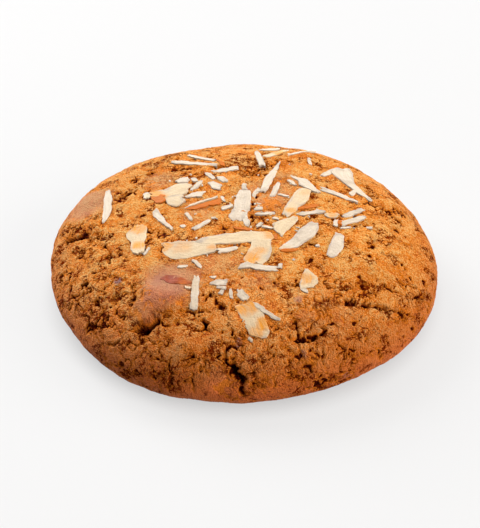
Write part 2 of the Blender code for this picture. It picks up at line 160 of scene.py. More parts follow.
# Nets of small cracks: share of the spacing, of the depth, how dark they are painted as shade, salt
CRACK_NETS = ((1.0, 1.0, 1.0, 31), (0.55, 0.6, 0.85, 41))
TENSION = ((1.0, 2.2, 4), (0.8, 6.5, 5))  # that opens them: share, size, step of the salt
SEAM = (0.02, 0.06, 0.16)  # inner half width, outer one, and what that gains where they open
HOLE = (0.75, 1.25)  # how low a clump lies where a hole starts, and where it is full
HOLE_TORN = 0.25  # how much sooner holes start where the crumb is torn
CRACK_SLOPE = 1.5  # width of a crack in its half reach, and depth at which it is dark
CRACK_DARK = (0.15, 0.9)
PIT_DEPTH = 0.5
PIT_DARK = (0.1, 0.7)
STEEP = 0.85  # a hollow deeper than this share of its half reach is painted dark as shade
SMOOTH_EDGE = (0.45, 1.15)  # shares of the reach between which a smooth place ends
CROWN_EDGE = (0.3, 1.1)
SPECK_EDGE = (0.1, 0.6)
FOOT = (0.4, 1.6)  # height up to which the foot is plain, and over which relief comes in
# Redder wall, partly a darker bake towards the base and partly painted shade on the front, which
# faces away from the lights: strength at the back, and what the front gains; between what shares of
# the height it fades; what the bottom keeps and lacks, and between what shares of the height
BROWN_AND_SHADE = (0.2, 0.65)
BROWN_RISE = (0.1, 0.85)
FOOT_BROWN = (0.7, 0.3)
FOOT_RISE = (0.0, 0.3)
FRONT_SHADE = 0.28  # painted shade on the front,
FRONT_REACH = (0.15, 0.95)  # between these shares of the radius

# ---- almonds
THICK = 1.15  # of a sliver
PROUD = 0.30  # how far a sliver's top stands above the crumb
FOLLOW = 0.35  # share of the dough's relief that a sliver bends with
SPRINKLED = 46  # tiny scraps strewn among the slivers
SPRINKLE_SEED = 4
# Broad flakes: x, y on one edge and x, y on the other, at one place along them after another
WHITE_FLAKES = (
    (-35.6, 17.1, -34.6, 17.2, -35.8, 14.5, -34, 14.5, -35.7, 11, -33.7, 11, -35.8, 7, -33.5, 7,
     -35.8, 3.8, -34.2, 3.7, -35.5, 1.4, -34.9, 1.4),
    (-23.1, 3.6, -21.6, 4.2, -22.7, 1.6, -20.8, 1.8, -21.5, -0.6, -19.8, -0.2, -20.2, -2.8, -18.9, -2.6,
     -18.9, -4.6, -17.9, -4.2, -18, -5.6, -17.3, -5.3),
    (-17.4, 15.6, -17, 17.8, -15.8, 15.6, -15.6, 18.6, -14.3, 16, -14.1, 19.1),
    (-13.6, 12.6, -13.2, 11.4, -12.2, 15.2, -11.6, 13.4, -10.9, 17, -10.2, 15.4),
    (-14.7, 8.9, -14.5, 8.5, -12.9, 10.8, -12.9, 8.6, -9.9, 11.4, -9.9, 8.9),
    (-9.2, 15.4, -8.4, 13, -7.6, 16.4, -7.4, 12, -5.4, 14.4, -5.3, 11.9),
    (9.6, 28.2, 10, 28.2, 8.6, 25, 9.6, 25, 7.4, 22.2, 9.1, 22.2, 6, 19, 8.5, 19, 4.9, 14, 6.9, 14,
     4.5, 11.2, 6, 11),
    (-0.8, 11.2, 1.9, 11, -1.2, 9.6, 2.1, 9.4, -2.1, 6.8, 2.1, 6.8, -2.3, 3.7, 2, 3.7,
     -3.2, 0.9, 1.3, 0.8, -3.6, -0.8, 0.6, -1.1, -2.6, -2.2, -0.4, -2.4),
    (12.6, 19.9, 12.9, 18.8, 14.6, 18.9, 14.3, 17.3, 16.6, 19, 14.6, 14.9, 17.9, 16.4, 16, 13.4,
     18.9, 13.9, 18, 12.1, 20, 12, 19.4, 11.4),
    (16.6, -2.6, 19, -2.4, 15.2, -4.3, 19, -4.6, 13.9, -6.3, 17.9, -7.6, 12.6, -8.9, 15.8, -10,
     10.4, -11.6, 13.4, -12.8, 8.5, -14, 9.8, -14.2),
    (28.6, 29, 24.4, 27.2, 29.1, 26.4, 23.4, 24.2, 29.1, 23.6, 24.6, 21.6, 29, 20.8, 26.2, 18.9,
     29.6, 18.6, 27.8, 16.7, 31.2, 15.6, 29.6, 14.2, 33.6, 12, 32.8, 11.6),
    (20.2, 15.2, 20.2, 12.9, 23.5, 13.6, 23.4, 11.5, 27, 11.4, 26.4, 9.7, 29.8, 9.3, 29.4, 8.8),
    (23.2, -5.8, 24, -5.8, 22.6, -7.5, 25.1, -7, 21.9, -9.6, 25.1, -9.2, 21.2, -11.9, 24.9, -11.6,
     20.8, -13.8, 24, -13.4, 20.5, -15.4, 22.4, -15.6),
    (-6.3, -14, -6.2, -15.7, -3.6, -13.3, -3.6, -15.3, -1, -12.7, -1.8, -14.2),
    (-1.2, -21, -1, -21.4, -0.2, -19.6, 0.3, -21.2, 1, -18.7, 1.6, -21.1, 2.6, -19.4, 3.1, -21.6,
     5.2, -20.2, 5.5, -22, 8.3, -20.3, 8.2, -22),
    (-8.1, -26.4, -7.8, -27, -6.2, -25.3, -6, -27.1, -3.6, -24.6, -3.8, -27),
    (-1.8, -29.6, -0.8, -28, -1, -30.9, 0.4, -29.2, 0.3, -32.1, 2, -31),
    (2.6, -32.2, 3, -33.4, 4, -32.9, 4.2, -34.4, 5.5, -34.1, 6, -35.7, 8.1, -36.2, 7.7, -37.2,
     9.1, -36.8, 8.8, -37.2),
)
TOASTED_FLAKES = (
    (-23.9, 12.4, -23.6, 10.4, -22, 12.8, -21.6, 9.6, -19.8, 13.1, -19.8, 9, -17.3, 15.1, -17.6, 9,
     -14.6, 15.6, -15.4, 9.6, -13.3, 14.2, -14.1, 11.2),
    (-19.9, 9.6, -19.6, 6.7, -18.6, 9.6, -18.2, 4.9, -16.6, 9.8, -16.2, 4.6, -15.4, 9.5, -14.8, 6.6),
    (14.3, 13.1, 17.5, 12.7, 13.4, 11, 17.2, 10.4, 12.4, 8.4, 16.8, 8.1, 10.9, 4.8, 15, 5,
     10.3, 2.6, 13.4, 2.2, 10, 0.7, 11.4, -0.3),
    (11.3, -0.7, 13.9, -0.1, 9.6, -2, 13.7, -2.2, 7.5, -3.6, 12.5, -4.2, 7.6, -5.4, 11.3, -5.9,
     8.4, -7.2, 10.4, -7.4, 9.2, -8.7, 9.8, -8.7),
    (-26.4, -1.9, -24.9, -2.1, -28.2, -3.6, -24, -3.6, -29.3, -5.8, -23.9, -6, -28.6, -7.6, -24.1, -8,
     -27.6, -9, -24.4, -9.4, -27.8, -11.3, -24.1, -11.4, -27.2, -13.2, -24.3, -13.4,
     -26, -14.2, -25, -14.2),
    (-19.9, -10.6, -19.6, -13.6, -18.6, -10.5, -18.3, -16, -16, -10.3, -16.6, -17,
     -13, -10.9, -13.4, -16.9, -10.2, -10.7, -10.2, -16.1, -8.2, -11.4, -8, -15.7,
     -6.6, -12.1, -6.6, -15.2),
    (-11.9, -10.9, -11.4, -11.6, -9.8, -9.6, -9.6, -12.2, -7, -8.5, -6.9, -12.2, -4, -7.5, -4.2, -11.8,
     -1, -6.8, -0.7, -11.4, 2, -6.8, 2.2, -11.2, 5, -6.7, 5, -11.2, 6.8, -6.9, 6.9, -11.2,
     7.6, -8.8, 7.4, -10.4),
    (2.3, -10.6, 7, -10.6, 2.1, -12.6, 6.8, -12.6, 1.6, -14.2, 7.3, -14.8, 0.7, -15.8, 6.8, -16.4,
     0, -17.8, 6, -18.1, 1.6, -19.2, 4.8, -19.6),
    (15, -20.7, 15.8, -20.7, 14.6, -22.4, 17, -21.8, 13.9, -24.2, 18.1, -23.6, 13.6, -26, 18, -25.2,
     14, -27.2, 16.9, -26.9),
    (-2, -33.2, 1.9, -32, -1.6, -34.2, 3.8, -33.4, -1.1, -35.6, 4.6, -34.9, -0.5, -37.2, 5.3, -36.9,
     0.5, -39.2, 6, -38.8, 1.6, -40.9, 6.2, -40.4, 3.2, -41.9, 5.6, -41.7),
)
SKIN_FLAKES = (
    (-23.7, 11.2, -23.4, 9.5, -22.2, 11.2, -22.2, 7, -20.8, 10.8, -20.8, 6.6, -19.9, 10.3, -20, 7.5),
    (-14.6, 3.6, -14.2, 3.2, -12.2, 4.6, -12, 2.9, -9, 6.2, -8.8, 4.2, -6.2, 7.6, -6.4, 5,
     -5.5, 6.8, -5.6, 6),
    (-7.4, 29.4, -6.6, 27.6, -6.2, 28.2, -5.8, 25, -4.6, 26.6, -4.8, 24.6),
)
LENS_FLAKES = (
    (-19.9, -23.8, -19.9, -24.2, -18.9, -23.1, -19, -25.3, -17.9, -22.9, -17.9, -26.5,
     -16.3, -23.3, -17, -27.3, -14.7, -24.1, -14.8, -27, -12.2, -25.9, -12.3, -26.3),
)
# Where the almonds browned most: x, y, reach, how much
GOLDEN = (
    (0.6, -33.7, 3, 0.9), (-1.1, -34.1, 1.6, 0.9), (4.9, -38, 2.2, 1), (3.1, -40.6, 2.4, 0.8),
    (-26.1, -3.9, 2.4, 1), (-25.8, -11.1, 2.2, 0.9), (-18.9, -12.1, 2.2, 0.9), (-7.5, -13.6, 1.4, 0.7),
    (-15, -12.6, 2.8, 0.4), (-22.8, 10.6, 2.8, 1), (-20.7, 9.5, 2.2, 0.8), (-9, 4.8, 3.4, 0.7),
    (12, 2.3, 1.8, 0.9), (6.6, -8.8, 1.8, 0.8), (6, -7.2, 1.4, 0.8), (3.9, -14.7, 2, 0.7),
    (2.3, -17.1, 2.6, 1), (15.5, -24.1, 2.2, 0.9), (10.2, -14.5, 2.4, 0.8), (22.7, 1.8, 1.4, 0.7),
    (9.6, 35, 2.4, 0.8), (-11.4, -32.4, 1.8, 0.35), (16, 11.4, 1.6, 0.35), (-13, -25.8, 3.2, 0.65),
)
# Plain sticks: x and y of both ends as seen on the crown, width, share of it at each end
WHITE_STICKS = (
    (-24.9, 13.3, -24.4, 9.9, 1.9, 0.3, 0.4), (-13, 18.2, -12, 16.2, 1.3, 0.8, 0.6),
    (-12.4, -5.8, -8.2, -1.6, 1.3, 0.9, 0.6), (-14.3, 1.2, -12.7, -2.1, 1, 0.7, 0.7),
    (-15.8, -4.3, -14.2, -4.1, 0.9, 0.6, 0.6), (-14.7, 3.9, -6.4, 8.3, 0.7, 0.5, 0.7),
    (-9.5, 20.5, -7.3, 17.2, 1.2, 0.7, 0.8), (-6.3, 18.6, -4.4, 15.8, 2, 0.7, 0.7),
    (-5.5, 8.7, -4.6, 6.1, 0.8, 0.6, 0.5), (-18.8, 29, -6.8, 25.2, 1.5, 0.8, 0.8),
    (-14.7, 33.3, -7.2, 27.8, 1.4, 0.7, 0.9), (-7.8, 21.4, -1.3, 23.7, 1.9, 0.7, 0.8),
    (3.7, 35.2, 5.2, 25.1, 1.6, 0.6, 0.9), (12, 32.3, 19.4, 37, 1.2, 0.8, 0.8),
    (4.5, 36.6, 10.2, 39, 1.8, 0.7, 0.7), (4.2, 12.8, 2.6, 8.9, 1.2, 0.7, 0.7),
    (9.4, 15.9, 7.4, 8.7, 1.4, 0.6, 0.9), (9, 9.9, 11.9, 9.2, 1, 0.8, 0.6),
    (-5.4, 2.8, -2.5, 4.3, 1.2, 0.3, 0.9), (3, 3, 5.3, 3, 1.4, 0.8, 0.7),
    (3, 0.3, 8.3, 1.4, 1.1, 0.3, 0.8), (0.2, 1, 1.2, -4.3, 1.7, 0.9, 0.8),
    (0.4, 15.1, 0.5, 11.6, 1.2, 0.4, 0.9), (12, 17.4, 13.7, 14.7, 1, 0.7, 0.7),
    (13.6, 0.9, 20.9, 3.1, 1.4, 0.3, 0.3), (24.6, 26.4, 20.8, 21.3, 1.5, 0.8, 0.5),
    (27.8, 12.4, 29.3, 15.3, 1.1, 0.8, 0.6), (25.4, 1.5, 30.7, 6.3, 1.5, 0.8, 0.7),
    (24.8, -1.9, 31.2, 3.1, 1.6, 0.9, 0.3), (23.5, 0, 23.4, -3.5, 1.1, 0.7, 0.7),
    (24.6, -3.4, 27.1, -3, 0.8, 0.7, 0.5), (31.2, -1.2, 32.7, -1, 0.9, 0.7, 0.7),
    (17.6, 30.6, 18, 27.4, 0.8, 0.6, 0.6), (18, -11.4, 18.9, -11.6, 1, 0.6, 0.6),
    (-23, -11.9, -24.5, -14.6, 0.9, 0.6, 0.7), (9, -19.2, 9.1, -21, 1, 0.6, 0.8),
    (3.4, -4.8, 4.9, -3.1, 0.9, 0.6, 0.6), (4.8, -4.6, 7.9, -5.6, 0.9, 0.6, 0.5),
    (7.5, -1, 9.1, -1.8, 0.8, 0.6, 0.6), (-11.2, -23.7, -11.7, -34.1, 1.7, 0.9, 0.9),
    (-6.3, -27.6, -3.8, -28, 1, 0.6, 0.8), (-4.9, -28.6, -5.5, -30, 0.8, 0.8, 0.5),
    (-3, -28.3, -2.7, -31.2, 0.9, 0.7, 0.6), (-8, -24.2, -6.4, -24.2, 0.7, 0.6, 0.6),
    (-16, -20, -13.5, -19.8, 0.9, 0.6, 0.6), (-12.3, -17.9, -10, -20.7, 1, 0.6, 0.5),
    (-14.1, -27.5, -12.5, -27.6, 0.8, 0.6, 0.6), (14, -27.4, 15.5, -28.4, 1, 0.6, 0.5),
    (1.2, -41.4, 2.2, -42.4, 0.8, 0.7, 0.5),
)
TOASTED_STICKS = (
    (5.8, 31, 12, 37.5, 2, 0.8, 0.7), (21, 1.4, 24, 1.8, 1.8, 0.6, 0.7),
)
SKIN_STICKS = (
    (24.4, -0.6, 24.5, -2.4, 1.2, 0.7, 0.7), (14, 3.4, 19.5, 6, 1.3, 0.5, 0.5),
    (9.2, -14.7, 13.6, -13.5, 1.1, 0.6, 0.4), (-2.5, -5, 2.5, -6, 1.1, 0.5, 0.5),
    (8, -7.8, 8.1, -10.2, 1, 0.6, 0.5),
)

# ---- stage
# Soft panels: name, place, width, height, share of the power, colour
LIGHTS = (
    ("panel_back", (0.0, 0.70, 0.75), 1.2, 0.8, 0.18, (1.0, 1.0, 1.0)),
    ("panel_back_left", (-0.70, 0.65, 0.55), 0.8, 0.7, 0.50, (1.0, 1.0, 1.0)),
    ("panel_right", (0.95, 0.0, 0.40), 0.8, 0.6, 0.25, (1.0, 0.96, 0.92)),
    ("panel_front_right", (0.70, -0.65, 0.45), 0.7, 0.6, 0.20, (1.0, 0.89, 0.80)),
)


# ---- settings a user would change
def colour(name, description, red, green, blue):
    return FloatVectorProperty(name=name, description=description, subtype="COLOR", size=3,
                               min=0.0, max=1.0, default=(red, green, blue))


def amount(name, description, default, low=0.0, unit="LENGTH"):
    return FloatProperty(name=name, description=description, default=default, min=low, unit=unit)


class CookieShape(bpy.types.PropertyGroup):
    radius: amount("Radius", "Mean radius at the widest line", 0.050, 0.02)
    height: amount("Height", "Height of the plain crown", 0.023, 0.01)
    widest: amount("Widest line", "Height of the widest line", 0.0075, 0.001)
    base_radius: amount("Base radius", "Radius of the flat base", 0.0425, 0.01)
    divisions: IntProperty(name="Divisions", description="Divisions of the ball the dough starts from",
                           default=9, min=4, max=9)
    faces: IntProperty(name="Faces", description="Triangles left in the finished dough",
                       default=196000, min=1000)


class CrumbSettings(bpy.types.PropertyGroup):
    swell: amount("Swell", "Height of the broad unevenness", 0.00026)
    clump_size: amount("Clump size", "Size of the clumps of crumb", 0.0024)
    clump_height: amount("Clump height", "Height of the clumps of crumb", 0.00014)
    crack_size: amount("Crack spacing", "Spacing of the small cracks", 0.0036)
    crack_depth: amount("Crack depth", "Depth of the small cracks", 0.00048)
    open_above: amount("Tears above", "Tension at which the crumb tears", 0.0, -2.0, "NONE")


class CookieColours(bpy.types.PropertyGroup):
    # Tan skin on top of the lumps, lightened as painted sheen
    plateau_and_sheen: colour("Plateau", "Dull tan skin on top of the lumps", 0.65, 0.346, 0.100)
    smooth: colour("Smooth", "Rosy skin where nothing tore", 0.275, 0.146, 0.088)
    slope: colour("Slope", "Golden orange crumb", 0.64, 0.188, 0.009)
    rim: colour("Rim", "Bright orange edges of the cracks", 0.69, 0.185, 0.004)
    # Redder crumb and painted shade in the low parts of the bumps
    crumb: colour("Crumb", "Brown crumb between the grains", 0.42, 0.064, 0.0015)
    # Dark brown crumb and painted shade in cracks, gaps and the low parts of the bumps
    crevice_shade: colour("Crevice", "Dark brown crumb in cracks", 0.15, 0.013, 0.0006)
    # Painted shade at the bottom of pits
    pit_shade: colour("Pit", "Nearly black bottom of pits", 0.035, 0.004, 0.001)
    # Redder bake towards the base, and painted shade on the front wall
    browned: colour("Browned", "Darker bake towards the base", 0.74, 0.150, 0.030)
    # Colour of the painted shade on the front and under the mounds
    shaded: colour("Baked", "Dark bake towards the front", 0.50, 0.108, 0.018)
    cream: colour("Cream", "Rim of a cut face", 0.36, 0.298, 0.236)
    inner: colour("Inner", "Middle of a cut face", 0.47, 0.398, 0.314)
    toasted: colour("Toasted", "Toasted almond", 0.49, 0.380, 0.245)
    golden: colour("Golden", "Darkest toasted spots", 0.54, 0.205, 0.004)
    skin: colour("Skin", "Brown skin of an almond", 0.40, 0.103, 0.005)
    violet: colour("Violet", "Grey-violet specks in the crumb", 0.20, 0.105, 0.115)
    sunk: colour("Sunk skin", "Red skin of an almond sunk in the dough", 0.22, 0.041, 0.014)


class StudioSettings(bpy.types.PropertyGroup):
    floor: colour("Floor", "Pale floor", 0.09, 0.09, 0.09)
    glow: amount("Floor glow", "Light that the floor gives of itself", 0.73, unit="NONE")
    surround: amount("Surround", "Brightness of the white room", 0.02, unit="NONE")
    power: amount("Light", "Power of all the soft lights together", 51.0, unit="POWER")
    elevation: amount("Camera elevation", "Angle above the floor", radians(36.3), unit="ROTATION")
    distance: amount("Camera distance", "Distance to the cookie", 0.45)
    lens: amount("Lens", "Focal length in millimetres", 119.75, 1.0, "NONE")


# ---- numbers that repeat exactly
HASH = (374761393, 668265263, 974634777)
SALT = 144269
STIR = 1274126177
WORD = 0xFFFFFFFF
TEN_BITS = 0x3FF


def scatter(cells, salt):
    """Three even random numbers, 0 to 1, for each whole-numbered cell."""
    mixed = (sum(cells[:, key] * factor for key, factor in enumerate(HASH)) + salt * SALT) & WORD
    for shift in (13, 11, 15):
        mixed = ((mixed ^ (mixed >> shift)) * STIR) & WORD
    mixed ^= mixed >> 16
    parts = np.stack((mixed, mixed >> 10, mixed >> 20), axis=1) & TEN_BITS
    return (parts / TEN_BITS).astype(np.float32)


def rounded(share):
    """0 to 1 as before, but level at both ends."""
    return share * share * (3.0 - 2.0 * share)


def swell(points, size, salt):
    """Three smooth random values, -1 to 1, at each point, which change over the given size."""
    spot = points / size
    home = np.floor(spot).astype(np.int64)
    share = rounded((spot - home).astype(np.float32))
    total = np.zeros((len(points), 3), np.float32)
    for step in itertools.product((0, 1), repeat=3):
        weight = np.prod(np.where(step, share, 1.0 - share), axis=1)
        total += weight[:, None] * scatter(home + step, salt)
    return 2.0 * total - 1.0


def swells(points, rows, start=0.0):
    """Weighted sum of one smooth random value for each row: share, size (mm), salt."""
    return sum((share * swell(points, size * MM, salt)[:, 0] for share, size, salt in rows), start)


def pushed(points, here, rows):
    """Points moved by the smooth random values at another place: push (mm), size (mm), salt."""
    for push, size, salt in rows:
        points = points + push * MM * swell(here, size * MM, salt)[:, :points.shape[1]]
    return points


def ease(value, low, high):
    """0 below low, 1 above high, smooth between."""
    return rounded(np.clip((value - low) / (high - low), 0.0, 1.0))


# ---- the plain shape
def shape():
    return bpy.context.scene.cookie_shape


def outline(bearing):
    """Share of the mean radius that the widest line has at a bearing (radians)."""
    radius = 1.0
    for count, height, crest in WAVES:
        radius = radius + height * MM / shape().radius * np.cos(count * (bearing - radians(crest)))
    return radius


def crown_height(x, y):
    size = shape()
    share = np.clip(np.hypot(x, y) / (size.radius * outline(np.arctan2(y, x))), 0.0, 1.0)
    return size.widest + (size.height - size.widest) * np.sqrt(1.0 - share ** CROWN_FULLNESS)


def on_wall(bearing, height):
    """Point on the skin at a bearing (degrees) and a height (mm)."""
    size = shape()
    turn = radians(bearing)
    up = max((height * MM - size.widest) / (size.height - size.widest), 0.0)
    down = max((size.widest - height * MM) / size.widest, 0.0)
    crown = size.radius * (1.0 - up ** 2) ** (1.0 / CROWN_FULLNESS)
    heel = size.base_radius + (size.radius - size.base_radius) * (1.0 - down ** 2) ** 0.5
    radius = (crown if up > 0.0 else heel) * outline(turn)
    return np.array((radius * cos(turn), radius * sin(turn), height * MM))


def on_crown(x, y):
    """Point on the crown over a place in plan (mm)."""
    return np.array((x * MM, y * MM, crown_height(x * MM, y * MM)), np.float32)


def profile():
    """Radius and height from the middle of the crown to the middle of the base, with the share
    of the mesh that lies above each step."""
    size = shape()
    turn = np.linspace(0.0, np.pi / 2, PROFILE_STEPS)
    crown = np.stack((size.radius * np.sin(turn) ** (2 / CROWN_FULLNESS),
                      size.widest + (size.height - size.widest) * np.cos(turn)), axis=1)
    heel = np.stack((size.base_radius + (size.radius - size.base_radius) * np.cos(turn),
                     size.widest - size.widest * np.sin(turn)), axis=1)
    base = np.stack((size.base_radius * (1.0 - turn / turn[-1]), 0.0 * turn), axis=1)
    line = np.concatenate((crown, heel[1:], base[1:]))
    step = np.hypot(*np.diff(line, axis=0).T) * (line[1:, 0] + line[:-1, 0]) / 2
    on_base = np.arange(len(step)) >= len(crown) + len(heel) - 2
    step[on_base] *= BASE_SHARE / (1.0 - BASE_SHARE) * step[~on_base].sum() / step[on_base].sum()
    area = np.concatenate(([0.0], np.cumsum(step)))
    return line, area / area[-1]


def smooth_skin(ball):
    """Spread a unit ball's points over the plain cookie shape."""
    line, area = profile()
    share = (1.0 - ball[:, 2]) / 2.0
    bearing = np.arctan2(ball[:, 1], ball[:, 0])
    radius = np.interp(share, area, line[:, 0]) * outline(bearing)
    height = np.interp(share, area, line[:, 1])
    return np.stack((radius * np.cos(bearing), radius * np.sin(bearing), height), axis=1)


# ---- relief of the dough
def bump(distance, reach):
    return (1.0 - np.clip(distance / reach, 0.0, 1.0) ** 2) ** 2


def distance_to(points, place):
    return np.linalg.norm(points - place, axis=1)


def distance_to_line(points, corners):
    nearest = np.full(len(points), np.inf)
    for start, end in zip(corners, corners[1:]):
        run = end - start
        share = np.clip((points - start) @ run / (run @ run), 0.0, 1.0)
        gap = points - start - share[:, None] * run
        nearest = np.minimum(nearest, np.linalg.norm(gap, axis=1))
    return nearest


def layered(points, size, salt, layers, share):
    """A smooth random value, about -1 to 1, with finer and weaker detail in each layer."""
    total = np.zeros(len(points))
    weight = 1.0
    whole = 0.0
    for layer in range(layers):
        total += weight * swell(points, size, salt + layer)[:, 0]
        whole += weight ** 2
        weight *= share
        size *= FINER
    return total / whole ** 0.5


def marks(table, place=on_wall):
    """Place (m), reach (m) and strength of each row of a table."""
    return [(place(first, second), reach * MM, share) for first, second, reach, share in table]


def strongest(points, rows, fade):
    """At each point the greatest strength of any mark, each fading with the distance from it."""
    most = np.zeros(len(points))
    for place, reach, share in rows:
        most = np.maximum(most, share * fade(distance_to(points, place), reach))
    return most


def fade_between(low, high):
    """A fade that is full up to one share of the reach and gone at another."""
    return lambda distance, reach: 1.0 - ease(distance / reach, low, high)


def relief(points):
    """How far the skin stands out (m) at each point of the plain shape, and what the material
    reads there, from 0 to 1: how deep in a crack or pit the point lies, where it is painted dark
    as shade, how high on a lump, how smooth, torn and violet the dough is, and how much painted shade it
    gets."""
    crumb = bpy.context.scene.cookie_crumb
    wander = pushed(points, points, PUSHES)
    near = points + NEAR * (wander - points)
    ragged = swells(points, RAGGED, 1.0)
    smooth = np.maximum(strongest(wander, marks(SMOOTH), fade_between(*SMOOTH_EDGE)),
                        strongest(wander, marks(CROWN_SMOOTH, on_crown), fade_between(*CROWN_EDGE)))
    rough = 1.0 - smooth
    rise = crumb.swell * swells(points, SWELLS)
    for table, sign in ((MOUNDS, 1.0), (HOLLOWS, -1.0)):
        for place, reach, size in marks(table):
            rise += sign * size * MM * bump(distance_to(wander, place), reach)
    torn = np.zeros(len(points))
    for place, reach, share in marks(TORN):
        torn += share * bump(distance_to(points, place), reach)

    clump = layered(wander, crumb.clump_size, *CLUMP_LAYERS)
    rise += rough * crumb.clump_height * clump
    # small cracks follow the zero lines of a slow noise, where another one lets them open
    deep = np.zeros(len(points))
    for spacing, depth, dark, salt in CRACK_NETS:
        line = np.abs(layered(wander, spacing * crumb.crack_size, salt, 3, 0.5))
        tension = swells(points, [(share, size, salt + step) for share, size, step in TENSION]) + torn
        tear = ease(tension, crumb.open_above, crumb.open_above + 0.8)
        seam = tear * (1.0 - ease(line, SEAM[0], SEAM[1] + SEAM[2] * tear)) * rough
        rise -= depth * crumb.crack_depth * seam
        deep = np.maximum(deep, dark * seam)
    hole = ease(-clump, *(low - HOLE_TORN * torn for low in HOLE)) * rough
    rise -= 0.6 * crumb.crack_depth * hole
    deep = np.maximum(deep, 0.9 * hole)

    for width, depth, places in CRACKS:
        corners = [on_wall(*corner) for corner in zip(places[::2], places[1::2])]
        cut = bump(distance_to_line(near, corners) * ragged, width * MM / CRACK_SLOPE)
        rise -= depth * MM * cut
        deep += 1.2 * ease(cut, *CRACK_DARK) * min(1.0, depth / CRACK_SLOPE)
    pits = [(on_wall(bearing, height), size) for bearing, height, size in PITS]
    pits += [(on_crown(x, y), size) for x, y, size in CROWN_PITS]
    for place, size in pits:
        cut = bump(distance_to(near, place) * (1.05 + 0.5 * clump) * ragged, size * MM)
        rise -= PIT_DEPTH * size * MM * cut
        deep = np.maximum(deep, 0.95 * ease(cut, *PIT_DARK))
    for bearing, height, reach, size in HOLLOWS:
        if size > STEEP * reach / 2:
            deep += 0.9 * bump(distance_to(wander, on_wall(bearing, height)), 0.8 * reach * MM)
    fade = np.clip((points[:, 2] - FOOT[0] * MM) / (FOOT[1] * MM), 0.0, 1.0)
    return rise * fade, {
        "deep": np.clip(deep, 0.0, 1.0) * fade,
        "high": np.clip(0.5 + 0.5 * clump, 0.0, 1.0),
        "smooth": smooth,
        "torn": np.clip(0.5 + 0.5 * torn, 0.0, 1.0),
        "violet": strongest(near, marks(VIOLET), lambda *at: ease(bump(*at), *SPECK_EDGE)),
        # painted shade on the low side of the mounds
        "darker": strongest(wander, marks(MOUND_SHADE), bump),
    }


# ---- bpy helpers
def deselect():
    for thing in bpy.context.selected_objects:
        thing.select_set(False)


def activate(thing):
    deselect()
    thing.select_set(True)
    bpy.context.view_layer.objects.active = thing


def read_points(mesh, source="vertices", key="co"):
    values = np.empty(len(getattr(mesh, source)) * 3, np.float32)
    getattr(mesh, source).foreach_get(key, values)
    return values.reshape(-1, 3).astype(float)


def write_points(mesh, points):
    mesh.vertices.foreach_set("co", np.asarray(points, np.float32).ravel())
    mesh.update()


def paint(mesh, name, values, kind="FLOAT", key="value"):
    """Store a value or a vector for each point of a mesh, for its material to read."""
    layer = mesh.attributes.new(name, kind, "POINT")
    layer.data.foreach_set(key, np.asarray(values, np.float32).ravel())


def apply_modifiers(thing):
    activate(thing)
    for modifier in list(thing.modifiers):
        bpy.ops.object.modifier_apply(modifier=modifier.name)


# ---- materials
class Finish:
    """A material under construction: short calls that add a node and join it to others."""

    def __init__(self, name, roughness, specular):
        self.material = bpy.data.materials.new(name)
        self.material.use_nodes = True
        self.nodes = self.material.node_tree.nodes
        self.links = self.material.node_tree.links
        self.shader = self.nodes["Principled BSDF"]
        self.shader.inputs["Roughness"].default_value = roughness
        self.shader.inputs["Specular IOR Level"].default_value = specular
        self.place = self.node("ShaderNodeTexCoord").outputs["Object"]

    def node(self, kind, **settings):
        made = self.nodes.new(kind)
        for key, value in settings.items():
            setattr(made, key, value)
        return made

    def put(self, socket, value):
        if isinstance(value, bpy.types.NodeSocket):
            self.links.new(value, socket)
        else:
            socket.default_value = value

    def attribute(self, name, output="Fac"):
        return self.node("ShaderNodeAttribute", attribute_name=name).outputs[output]

    def noise(self, scale, detail=3.0, roughness=0.5, place=None):
        """Cloudy values about the middle; the scale is in cells per metre."""
        made = self.node("ShaderNodeTexNoise")
        for key, value in (("Vector", place or self.place), ("Scale", scale), ("Detail", detail),
                           ("Roughness", roughness)):
            self.put(made.inputs[key], value)
        return made.outputs["Fac"]

    def crease(self, *noise):
        """Nothing along the winding lines where a noise is at its middle, and more off them."""
        return self.math("ABSOLUTE", self.math("SUBTRACT", self.noise(*noise), 0.5), 0.0)

    def range(self, value, low, high, start=0.0, end=1.0):
        made = self.node("ShaderNodeMapRange", interpolation_type="SMOOTHSTEP")
        for key, number in (("From Min", low), ("From Max", high), ("To Min", start), ("To Max", end)):
            made.inputs[key].default_value = number
        self.put(made.inputs["Value"], value)
        return made.outputs["Result"]

    def math(self, operation, first, second):
        made = self.node("ShaderNodeMath", operation=operation)
        for socket, value in zip(made.inputs, (first, second)):
            self.put(socket, value)
        return made.outputs[0]

    def times(self, first, second):
        return self.math("MULTIPLY", first, second)

    def most(self, first, second):
        return self.math("MAXIMUM", first, second)

    def total(self, *terms):
        """Sum of values, each given with its weight."""
        return reduce(lambda first, second: self.math("ADD", first, second),
                      (self.times(value, weight) for value, weight in terms))

    def mix(self, share, first, second):
        made = self.node("ShaderNodeMix", data_type="RGBA")
        self.put(made.inputs["Factor"], share)
        for socket, value in ((made.inputs[6], first), (made.inputs[7], second)):
            self.put(socket, value if isinstance(value, bpy.types.NodeSocket) else (*value, 1.0))
        return made.outputs[2]

    def bumps(self, height, distance, strength):
        made = self.node("ShaderNodeBump")
        for key, value in (("Strength", strength), ("Distance", distance), ("Height", height)):
            self.put(made.inputs[key], value)
        self.links.new(made.outputs["Normal"], self.shader.inputs["Normal"])

    def base(self, value):
        self.put(self.shader.inputs["Base Color"], value)
        return self.material


